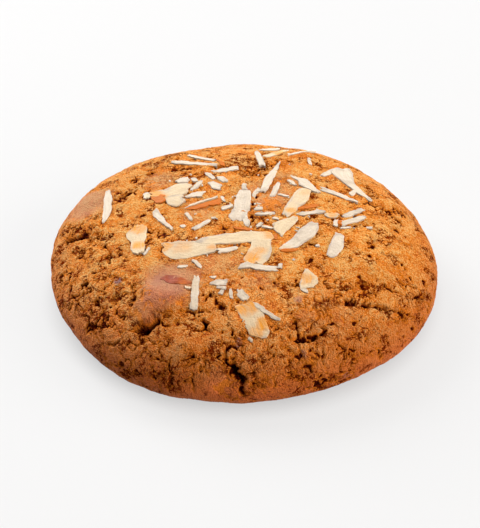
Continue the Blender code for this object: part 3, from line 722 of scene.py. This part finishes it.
# Noises: cells per metre, detail, roughness
CLUMPS = (520.0, 5.0, 0.7)
SAND = (1900.0, 2.0, 0.6)
SPECKS = (3800.0, 1.0)
BLOTCHES = (170.0, 3.0)
STRAIN = (240.0, 2.0)
BLOBS = (760.0, 2.0)
ALMOND_PATCHES = (190.0, 2.0)
ALMOND_FIBRE = (1500.0, 3.0, 0.6)
ALMOND_GRAIN = (1300.0, 4.0, 0.6)
# Hair cracks: noise they wind along, widths by tension, noise and span of it that shows them
HAIRS = (((430.0, 4.0, 0.6), (0.72, 1.0, -0.008, 0.052), (800.0, 1.0), (0.42, 0.55)),
         ((820.0, 3.0, 0.6), (0.76, 1.0, -0.006, 0.042), (1000.0, 1.0), (0.47, 0.56)))
# Small gaps: tension, and below what value of the clumps they open
GAPS = (0.65, 1.05, 0.305, 0.435)
# Blobs: tension at which they come apart, nearness to the line between them, zero level
BLOBS_APART = (0.86, 1.02)
BLOB_GAP = (0.012, 0.04, 1.0, 0.0)
BLOB_RIM = (0.03, 0.10, 1.0, 0.0)
BLOB_LOW = 0.08
LEVEL_START = 0.25
# Levels of the crumb between which a colour comes in: low ones darker and redder as painted shade, high
# ones lighter tan as painted sheen
SLOPE_LEVEL = (1.74, 2.16)
PLATEAU_LEVEL = (2.10, 2.62)
RAISED_LEVEL = (1.75, 2.32, 0.22, 1.0)
# Depths of cracks and pits between which a colour comes in, the deeper ones painted dark as shade
RIM_DEPTH = (0.03, 0.2, 0.0, 0.6)
CREVICE_DEPTH = (0.3, 0.85)
PIT_BOTTOM = (0.7, 1.0)
# Shares that change with how browned and painted-shaded, or how smooth, the dough is
BROWNED_PLATEAU = (0.0, 0.7, 1.0, 0.45)
BROWNED_BUMPS = (0.0, 0.5, 0.85, 1.5)
SMOOTH_BUMPS = (0.0, 1.0, 1.0, 0.45)
SMOOTH_TINT = 0.75
# how much painted shade the open gaps and hair cracks get
OPEN_TINT = 0.96
OPEN_DROP = 0.6  # of the bumps in open gaps
DOUGH_BUMP = (0.0008, 1.0)
DOUGH_GLOSS = 0.07


def dough_finish():
    tint = bpy.context.scene.cookie_colours
    finish = Finish("baked_dough", 0.6, 0.15)
    times, mix, span = finish.times, finish.mix, finish.range
    deep, smooth, browned = (finish.attribute(name) for name in ("deep", "smooth", "browned"))
    rough = finish.math("SUBTRACT", 1.0, smooth)
    clump, sand, speck, blotch = (finish.noise(*kind) for kind in (CLUMPS, SAND, SPECKS, BLOTCHES))
    tension = finish.total((finish.noise(*STRAIN), 1.0), (finish.attribute("torn"), 0.6))
    # small gaps open where the clumps are low, and hair cracks along the zero lines of a noise; both are
    # painted dark as shade
    gap = finish.math("SUBTRACT", span(tension, *GAPS), clump)
    open_to = times(span(gap, 0.0, 0.05), rough)
    for lines, widths, patches, shown in HAIRS:
        hair = finish.math("SUBTRACT", span(tension, *widths), finish.crease(*lines))
        hair = times(span(hair, 0.0, 0.012), times(rough, span(finish.noise(*patches), *shown)))
        open_to = finish.most(open_to, hair)
    # blobs of crumb about 1 mm wide, with narrow gaps between them where the dough tore
    blob = finish.crease(*BLOBS)
    apart = times(rough, span(tension, *BLOBS_APART))
    open_to = finish.most(open_to, times(span(blob, *BLOB_GAP), apart))
    level = finish.total((finish.attribute("high"), 0.5), (clump, 0.8),
                         (finish.math("SUBTRACT", blob, BLOB_LOW), 1.5), (sand, 1.2),
                         (LEVEL_START, 1.0), (speck, 1.0), (blotch, 0.6))
    # colour by the height of the bumps: darker, redder crumb with painted shade in their low parts,
    # lighter tan with painted sheen on their tops
    skin = mix(span(level, *SLOPE_LEVEL), tint.crumb, tint.slope)
    skin = mix(times(span(level, *PLATEAU_LEVEL), span(browned, *BROWNED_PLATEAU)), skin, tint.plateau_and_sheen)
    skin = mix(times(smooth, SMOOTH_TINT), skin, tint.smooth)
    # the low parts of the bumps take the crevice colour as painted shade
    raised = span(level, *RAISED_LEVEL)
    # redder wall towards the base, partly a darker bake, and painted shade towards the front
    skin = mix(browned, skin, mix(raised, tint.crevice_shade, tint.browned))
    # painted shade on the front and under the mounds, with crevice colour in the low parts of the bumps
    skin = mix(finish.attribute("darker"), skin, mix(raised, tint.crevice_shade, tint.shaded))
    skin = mix(finish.attribute("violet"), skin, tint.violet)
    edge = times(span(blob, *BLOB_RIM), times(apart, 0.5))
    skin = mix(finish.most(span(deep, *RIM_DEPTH), edge), skin, tint.rim)
    # cracks and pits: dark crumb and painted shade, nearly black at the bottom of pits
    dark = mix(span(deep, *PIT_BOTTOM), tint.crevice_shade, tint.pit_shade)
    skin = mix(span(deep, *CREVICE_DEPTH), skin, dark)
    # the open gaps and hair cracks are filled with painted shade
    skin = mix(times(open_to, OPEN_TINT), skin, tint.crevice_shade)
    height = finish.total((blob, 0.8), (speck, 0.75), (sand, 1.5), (clump, 0.85))
    height = times(times(height, span(smooth, *SMOOTH_BUMPS)), span(browned, *BROWNED_BUMPS))
    height = finish.math("SUBTRACT", height, times(open_to, OPEN_DROP))
    finish.bumps(height, *DOUGH_BUMP)
    shut = finish.math("SUBTRACT", 1.0, finish.most(open_to, deep))
    finish.put(finish.shader.inputs["Specular IOR Level"], times(shut, DOUGH_GLOSS))
    return finish.base(skin)


ALMOND_GLOW = (("Subsurface Weight", 0.4), ("Subsurface Radius", (1.0, 0.95, 0.85)),
               ("Subsurface Scale", 0.0005))
ALMOND_RIM = (0.5, 1.0, 0.0, 0.2)  # nearness to the edge, and how much paler it makes a point
UNDERSIDE_SHADE = (0.9, 0.75, 0.6)  # tint of the painted shade on the underside
FIBRE_SHADE = 0.8
FIBRE_SHARE = (0.35, 0.6, 0.0, 0.45)
ALMOND_BUMP = (0.00035, 0.7)


def almond_finish(name, rim, face, spot, low, high):
    """Cut almond: a pale rim, a face that browns in soft patches, and faint grain."""
    finish = Finish(name, 0.6, 0.15)
    for key, value in ALMOND_GLOW:
        finish.shader.inputs[key].default_value = value
    patch = finish.math("SUBTRACT", finish.noise(*ALMOND_PATCHES),
                        finish.range(finish.attribute("edge"), *ALMOND_RIM))
    skin = finish.mix(finish.range(patch, low, high), rim, face)
    skin = finish.mix(finish.attribute("golden"), skin, spot)
    # painted shade on the sliver's sides and underside
    under = [level * share for level, share in zip(face, UNDERSIDE_SHADE)]
    skin = finish.mix(finish.attribute("under"), skin, under)
    fibre = finish.noise(*ALMOND_FIBRE, finish.attribute("grain", "Vector"))
    shade = [FIBRE_SHADE * level for level in face]
    skin = finish.mix(finish.range(fibre, *FIBRE_SHARE), skin, shade)
    finish.bumps(finish.math("ADD", fibre, finish.noise(*ALMOND_GRAIN)), *ALMOND_BUMP)
    return finish.base(skin)


# ---- making the pieces
BLANK_EDGE = 0.07  # taken off every edge of the blank
BLANK_CUTS = (((1, 0, 0), np.linspace(-0.46, 0.46, 19)), ((0, 1, 0), np.linspace(-0.4, 0.4, 6)))
STICK_PLACES = (0.0, 0.18, 0.5, 0.82, 1.0)
SCRAP_MIDDLE = (2.0, 2.0)
SCRAP_SPREAD = (14.0, 15.0)
SCRAP_REACH = 34.0
SCRAP_LENGTH = (0.35, 1.1)
SCRAP_WIDTH = (0.25, 0.5)
SCRAP_ENDS = (0.7, 0.5)
# How scraps and sunk skin lie: how proud, how thick, and how closely they follow the dough
SCRAP_LIE = (0.2, 0.5, 0.5)
SUNK_LIE = (0.12, 0.6, 1.0)
ABOVE = 0.05  # height (m) that the dough is measured from


def make_sliver_blank():
    """A flat almond stick one unit long, wide and thick, with its edges taken off and rows of
    faces along and across it for the bends and ragged sides that each copy gets."""
    deselect()
    bpy.ops.mesh.primitive_cube_add(size=1.0)
    blank = bpy.context.active_object
    blank.name = "sliver_blank"
    bpy.ops.object.mode_set(mode="EDIT")
    bpy.ops.mesh.select_all(action="SELECT")
    bpy.ops.mesh.bevel(offset=BLANK_EDGE, segments=2, affect="EDGES")
    for axis, cuts in BLANK_CUTS:
        for cut in cuts:
            bpy.ops.mesh.select_all(action="SELECT")
            bpy.ops.mesh.bisect(plane_co=[cut * c for c in axis], plane_no=axis)
    bpy.ops.object.mode_set(mode="OBJECT")
    return blank


def stick(x0, y0, x1, y1, width, first, second):
    """Both edges of a plain stick at five places along it."""
    start = np.array((x0, y0))
    along = np.array((x1, y1)) - start
    side = np.array((-along[1], along[0])) / np.hypot(*along)
    places = []
    for share, part in zip(STICK_PLACES, (first, 1.0, 1.0, 1.0, second)):
        middle = start + share * along
        reach = side * width * part / 2
        places.append((*(middle + reach), *(middle - reach)))
    return places


def scraps(count, seed):
    """Tiny sticks strewn over the middle of the crown."""
    draw = np.random.default_rng(seed)
    made = []
    while len(made) < count:
        x, y = draw.normal(SCRAP_MIDDLE, SCRAP_SPREAD)
        if np.hypot(x, y) < SCRAP_REACH:
            turn = draw.uniform(0.0, 2 * np.pi)
            length = draw.uniform(*SCRAP_LENGTH)
            made.append((x, y, x + length * cos(turn), y + length * sin(turn),
                         draw.uniform(*SCRAP_WIDTH), *SCRAP_ENDS))
    return made


def dough_heights(dough, places):
    """Height of the finished dough at each place, or of the plain crown where it misses."""
    hits = [dough.ray_cast(Vector((x, y, ABOVE)), Vector((0.0, 0.0, -1.0)))[0] for x, y in places]
    return np.array([hit.z if hit else float(crown_height(*place)) for hit, place in zip(hits, places)])


SIDE_PUSHES = ((0.17, 1.2), (0.13, 0.5))  # raggedness of a sliver's sides: push, size
TEAR_ROWS = 3.0  # its ends: rows of fibres, reach as a share of the width and at most (mm)
TEAR_SHARE = 0.35
TEAR_MOST = 0.6
TEAR_FROM = (0.3, 0.5)
LEAN = 0.06  # slope that it may lean at, beyond that of the dough
TOP_WAVE = 0.13  # unevenness of its top
TOP_WAVE_SIZE = 2.2
COVERED = 0.95  # share of it that the dough stays under,
COVER = 0.7  # by this share of its proud height
GRAIN_PULL = 0.12  # how much longer the grain is than wide, as a share
GOLDEN_WANDER = 0.3
GOLDEN_SIZE = 1.3
GOLDEN_EDGE = (0.5, 1.1)
UNDERSIDE_SHADE_SHARE = 0.7  # how strong the painted shade on its underside is
UNDER_REACH = (-0.3, 0.3)  # heights on the blank, downwards, between which it comes in
SMOOTH_BELOW = 35.0  # angle between faces up to which they are shaded as one


def sliver_points(blank, places, dough, proud, thickness, follow, salt):
    """The blank's points spread between the two edges of one sliver and laid on the dough, with
    each point's place in the grain and how golden it is."""
    edges = np.reshape(places, (-1, 4)) * MM
    middles = (edges[:, :2] + edges[:, 2:]) / 2
    travel = np.concatenate(([0.0], np.cumsum(np.hypot(*np.diff(middles, axis=0).T))))
    u, v, w = blank.T
    at = (u + 0.5) * travel[-1]
    left, right = (np.stack([np.interp(at, travel, edges[:, key]) for key in keys], axis=1)
                   for keys in ((0, 1), (2, 3)))
    spots = right + (left - right) * (v + 0.5)[:, None]
    here = np.concatenate((spots, np.full((len(spots), 1), salt * MM)), axis=1)
    spots = pushed(spots, here, [(*row, salt + step) for step, row in enumerate(SIDE_PUSHES)])
    # the ends are torn along the grain
    along = (middles[-1] - middles[0]) / travel[-1]
    tear = swell(np.stack((v * TEAR_ROWS, 0.0 * v + salt, np.sign(u)), axis=1), 1.0, salt + 2)[:, 0]
    width = np.hypot(*(left - right).T)
    longest = np.minimum(TEAR_SHARE * width, TEAR_MOST * MM)
    spots += (longest * tear * ease(np.abs(u), *TEAR_FROM) * np.sign(u))[:, None] * along
    # the top is seen further back than the crumb under it
    spots[:, 1] -= proud * MM / np.tan(bpy.context.scene.cookie_studio.elevation)
    under = dough_heights(dough, spots)
    flat = np.concatenate((spots, np.ones((len(spots), 1))), axis=1)
    plane = np.linalg.lstsq(flat, under, rcond=None)[0]
    up = np.array((-plane[0], -plane[1], 1.0))
    up /= np.linalg.norm(up)
    lean = swell(np.array([[salt, 3.0, 5.0]]), 1.0, 3)[0, :2] * LEAN
    base = flat @ plane + (spots - spots.mean(axis=0)) @ lean
    base += follow * (under - base)
    base += max(0.0, np.quantile(under - base, COVERED) - COVER * proud * MM)
    wave = swell(here, TOP_WAVE_SIZE * MM, salt + 2)[:, 0]
    high = (w * thickness + proud - thickness / 2) * MM + TOP_WAVE * MM * wave * (w > 0)
    grain = np.stack((GRAIN_PULL * at, v * width, 0.0 * at + salt * MM), axis=1)
    golden = np.zeros(len(spots))
    stray = swells(here, ((GOLDEN_WANDER, GOLDEN_SIZE, 7),))
    for x, y, reach, share in GOLDEN:
        distance = np.hypot(*(here[:, :2] / MM - (x, y)).T) / reach + stray
        golden = np.maximum(golden, share * (1.0 - ease(distance, *GOLDEN_EDGE)))
    return np.concatenate((spots, base[:, None]), axis=1) + high[:, None] * up, grain, golden


def make_slivers(name, flakes, sticks, material, dough, salt, proud=PROUD, thickness=THICK,
                 follow=FOLLOW):
    """One piece of all the slivers of a kind, copied from the blank."""
    blank = make_sliver_blank()
    points = read_points(blank.data)
    paint(blank.data, "edge", np.clip(2.0 * np.abs(points[:, :2]).max(axis=1), 0.0, 1.0))
    # the lower part of the blank gets painted shade
    paint(blank.data, "under", UNDERSIDE_SHADE_SHARE * ease(-points[:, 2], *UNDER_REACH))
    parts = []
    for number, places in enumerate([*flakes, *(stick(*row) for row in sticks)]):
        part = blank.copy()
        part.data = blank.data.copy()
        bpy.context.collection.objects.link(part)
        spots, grain, golden = sliver_points(points, places, dough, proud, thickness, follow,
                                             salt + 3 * number)
        write_points(part.data, spots)
        paint(part.data, "golden", golden)
        paint(part.data, "grain", grain, "FLOAT_VECTOR", "vector")
        parts.append(part)
    bpy.data.objects.remove(blank, do_unlink=True)
    activate(parts[0])
    for part in parts:
        part.select_set(True)
    bpy.ops.object.join()
    piece = bpy.context.active_object
    piece.name = name
    piece.data.name = name
    piece.data.materials.clear()
    piece.data.materials.append(material)
    bpy.ops.object.mode_set(mode="EDIT")
    bpy.ops.mesh.select_all(action="SELECT")
    bpy.ops.mesh.normals_make_consistent(inside=False)
    bpy.ops.object.mode_set(mode="OBJECT")
    bpy.ops.object.shade_smooth_by_angle(angle=radians(SMOOTH_BELOW))
    return piece


def finish_piece(piece):
    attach(piece, "root")


class COOKIE_OT_dough(bpy.types.Operator):
    """Model the dough: a crowned round with mounds, cracks, pits and a sandy crumb"""
    bl_idname = "cookie.dough"
    bl_label = "Dough"

    def execute(self, context):
        size = context.scene.cookie_shape
        deselect()
        bpy.ops.mesh.primitive_ico_sphere_add(subdivisions=size.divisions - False, radius=1.0)
        piece = context.active_object
        piece.name = "baked_dough"
        mesh = piece.data
        ball = read_points(mesh)
        plain = smooth_skin(ball / np.linalg.norm(ball, axis=1, keepdims=True))
        write_points(mesh, plain)
        normals = read_points(mesh, "vertex_normals", "vector")
        rise, values = relief(plain)
        write_points(mesh, plain + rise[:, None] * normals)
        front = 0.5 - 0.5 * plain[:, 1] / np.hypot(plain[:, 0], plain[:, 1]).clip(min=MM)
        rising = plain[:, 2] / size.height
        foot = FOOT_BROWN[0] + FOOT_BROWN[1] * ease(rising, *FOOT_RISE)
        # redder towards the base, partly a darker bake, and painted shade on the front, away from the
        # lights
        values["browned"] = (BROWN_AND_SHADE[0] + BROWN_AND_SHADE[1] * front) * (1.0 - ease(rising, *BROWN_RISE)) * foot
        # painted shade on the front of the cookie
        shaded = FRONT_SHADE * ease(-plain[:, 1] / size.radius, *FRONT_REACH)
        values["darker"] = np.maximum(values["darker"], shaded)
        for name, value in values.items():
            paint(mesh, name, value)
        thin = piece.modifiers.new("thin", "DECIMATE")
        thin.ratio = min(1.0, size.faces / len(mesh.polygons))
        apply_modifiers(piece)
        bpy.ops.object.shade_smooth()
        piece.data.materials.append(dough_finish())
        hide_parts("cookie")
        finish_piece(piece)
        return {"FINISHED"}


class COOKIE_OT_slivers(bpy.types.Operator):
    """Model the almond slivers: white, toasted and with brown skin"""
    bl_idname = "cookie.slivers"
    bl_label = "Almond slivers"

    def execute(self, context):
        tint = context.scene.cookie_colours
        dough = BVHTree.FromObject(bpy.data.objects["baked_dough"], context.evaluated_depsgraph_get())
        white = almond_finish("cut_almond", tint.cream, tint.inner, tint.toasted, 0.28, 0.42)
        toasted = almond_finish("toasted_almond", tint.cream, tint.toasted, tint.golden, 0.16, 0.40)
        skin = almond_finish("almond_skin", tint.skin, tint.skin, tint.skin, 0.3, 0.5)
        lens = almond_finish("sunk_almond_skin", tint.sunk, tint.sunk, tint.skin, 0.4, 0.6)
        strewn = scraps(SPRINKLED, SPRINKLE_SEED)
        pieces = (make_slivers("white_slivers", WHITE_FLAKES, WHITE_STICKS, white, dough, 1000),
                  make_slivers("white_scraps", (), strewn, white, dough, 5000, *SCRAP_LIE),
                  make_slivers("toasted_slivers", TOASTED_FLAKES, TOASTED_STICKS, toasted, dough, 2000),
                  make_slivers("skin_slivers", SKIN_FLAKES, SKIN_STICKS, skin, dough, 3000),
                  make_slivers("sunk_skin", LENS_FLAKES, (), lens, dough, 4000, *SUNK_LIE))
        for piece in pieces:
            finish_piece(piece)
        return {"FINISHED"}


WHITE = (1.0, 1.0, 1.0, 1.0)
FLOOR_SIZE = 6.0
SHADE_REACH = (0.044, 0.053)  # radii between which the shade under the cookie ends
SHADE_SHARE = 0.72  # of the floor's own light that it leaves
LIT = (0.0, 0.0, 0.008)  # what the panels point at
AIM = (-0.69, 0.0, 10.0)  # what the camera looks at, before it is tipped up
TIPPED = 1.92
SENSOR = 36.0
CLIP_START = 0.01


class COOKIE_OT_stage(bpy.types.Operator):
    """Set up the pale floor, the soft studio light and the camera"""
    bl_idname = "cookie.stage"
    bl_label = "Stage"

    def execute(self, context):
        studio = context.scene.cookie_studio
        deselect()
        bpy.ops.mesh.primitive_plane_add(size=FLOOR_SIZE)
        floor = context.active_object
        floor.name = "floor"
        paper = Finish("paper", 0.9, 0.2)
        paper.shader.inputs["Emission Color"].default_value = WHITE
        away = paper.node("ShaderNodeVectorMath", operation="LENGTH")
        paper.links.new(paper.place, away.inputs[0])
        shade = paper.range(away.outputs["Value"], *SHADE_REACH, SHADE_SHARE * studio.glow, studio.glow)
        paper.put(paper.shader.inputs["Emission Strength"], shade)
        floor.data.materials.append(paper.base((*studio.floor, 1.0)))

        world = bpy.data.worlds.new("white_room")
        world.use_nodes = True
        room = world.node_tree.nodes["Background"].inputs
        room["Color"].default_value = WHITE
        room["Strength"].default_value = studio.surround
        context.scene.world = world

        for name, spot, width, height, share, tint in LIGHTS:
            panel = bpy.data.lights.new(name, "AREA")
            panel.shape = "RECTANGLE"
            panel.size = width
            panel.size_y = height
            panel.energy = share * studio.power
            panel.color = tint
            light = bpy.data.objects.new(name, panel)
            context.collection.objects.link(light)
            light.location = spot
            light.rotation_euler = (Vector(LIT) - light.location).to_track_quat("-Z", "Y").to_euler()

        view = bpy.data.cameras.new("camera")
        view.lens = studio.lens
        view.sensor_width = SENSOR
        view.clip_start = CLIP_START
        camera = bpy.data.objects.new("camera", view)
        context.collection.objects.link(camera)
        back = Vector((0.0, -cos(studio.elevation), sin(studio.elevation)))
        upward = Vector((0.0, sin(studio.elevation), cos(studio.elevation)))
        aim = Vector([MM * part for part in AIM]) - TIPPED * MM * upward
        camera.location = aim + studio.distance * back
        camera.rotation_euler = back.to_track_quat("Z", "Y").to_euler()
        context.scene.camera = camera
        context.scene.view_settings.view_transform = "Standard"
        return {"FINISHED"}


class COOKIE_PT_panel(bpy.types.Panel):
    """The cookie's settings and the buttons that make its pieces"""
    bl_idname = "COOKIE_PT_panel"
    bl_label = "Almond cookie"
    bl_space_type = "VIEW_3D"
    bl_region_type = "UI"
    bl_category = "Cookie"

    def draw(self, context):
        for name in GROUPS:
            group = getattr(context.scene, name)
            box = self.layout.box()
            for key in group.__annotations__:
                box.prop(group, key)
        for operator in OPERATORS:
            self.layout.operator(operator.bl_idname)


GROUPS = {"cookie_shape": CookieShape, "cookie_crumb": CrumbSettings,
          "cookie_colours": CookieColours, "cookie_studio": StudioSettings}
OPERATORS = (COOKIE_OT_dough, COOKIE_OT_slivers, COOKIE_OT_stage)


def register():
    for made in (*GROUPS.values(), *OPERATORS, COOKIE_PT_panel):
        bpy.utils.register_class(made)
    for name, group in GROUPS.items():
        setattr(bpy.types.Scene, name, PointerProperty(type=group))


def unregister():
    for name in GROUPS:
        delattr(bpy.types.Scene, name)
    for made in (COOKIE_PT_panel, *OPERATORS, *GROUPS.values()):
        bpy.utils.unregister_class(made)


def main():
    register()
    bpy.ops.cookie.dough()
    bpy.ops.cookie.slivers()
    bpy.ops.cookie.stage()


if __name__ == "__main__":
    main()
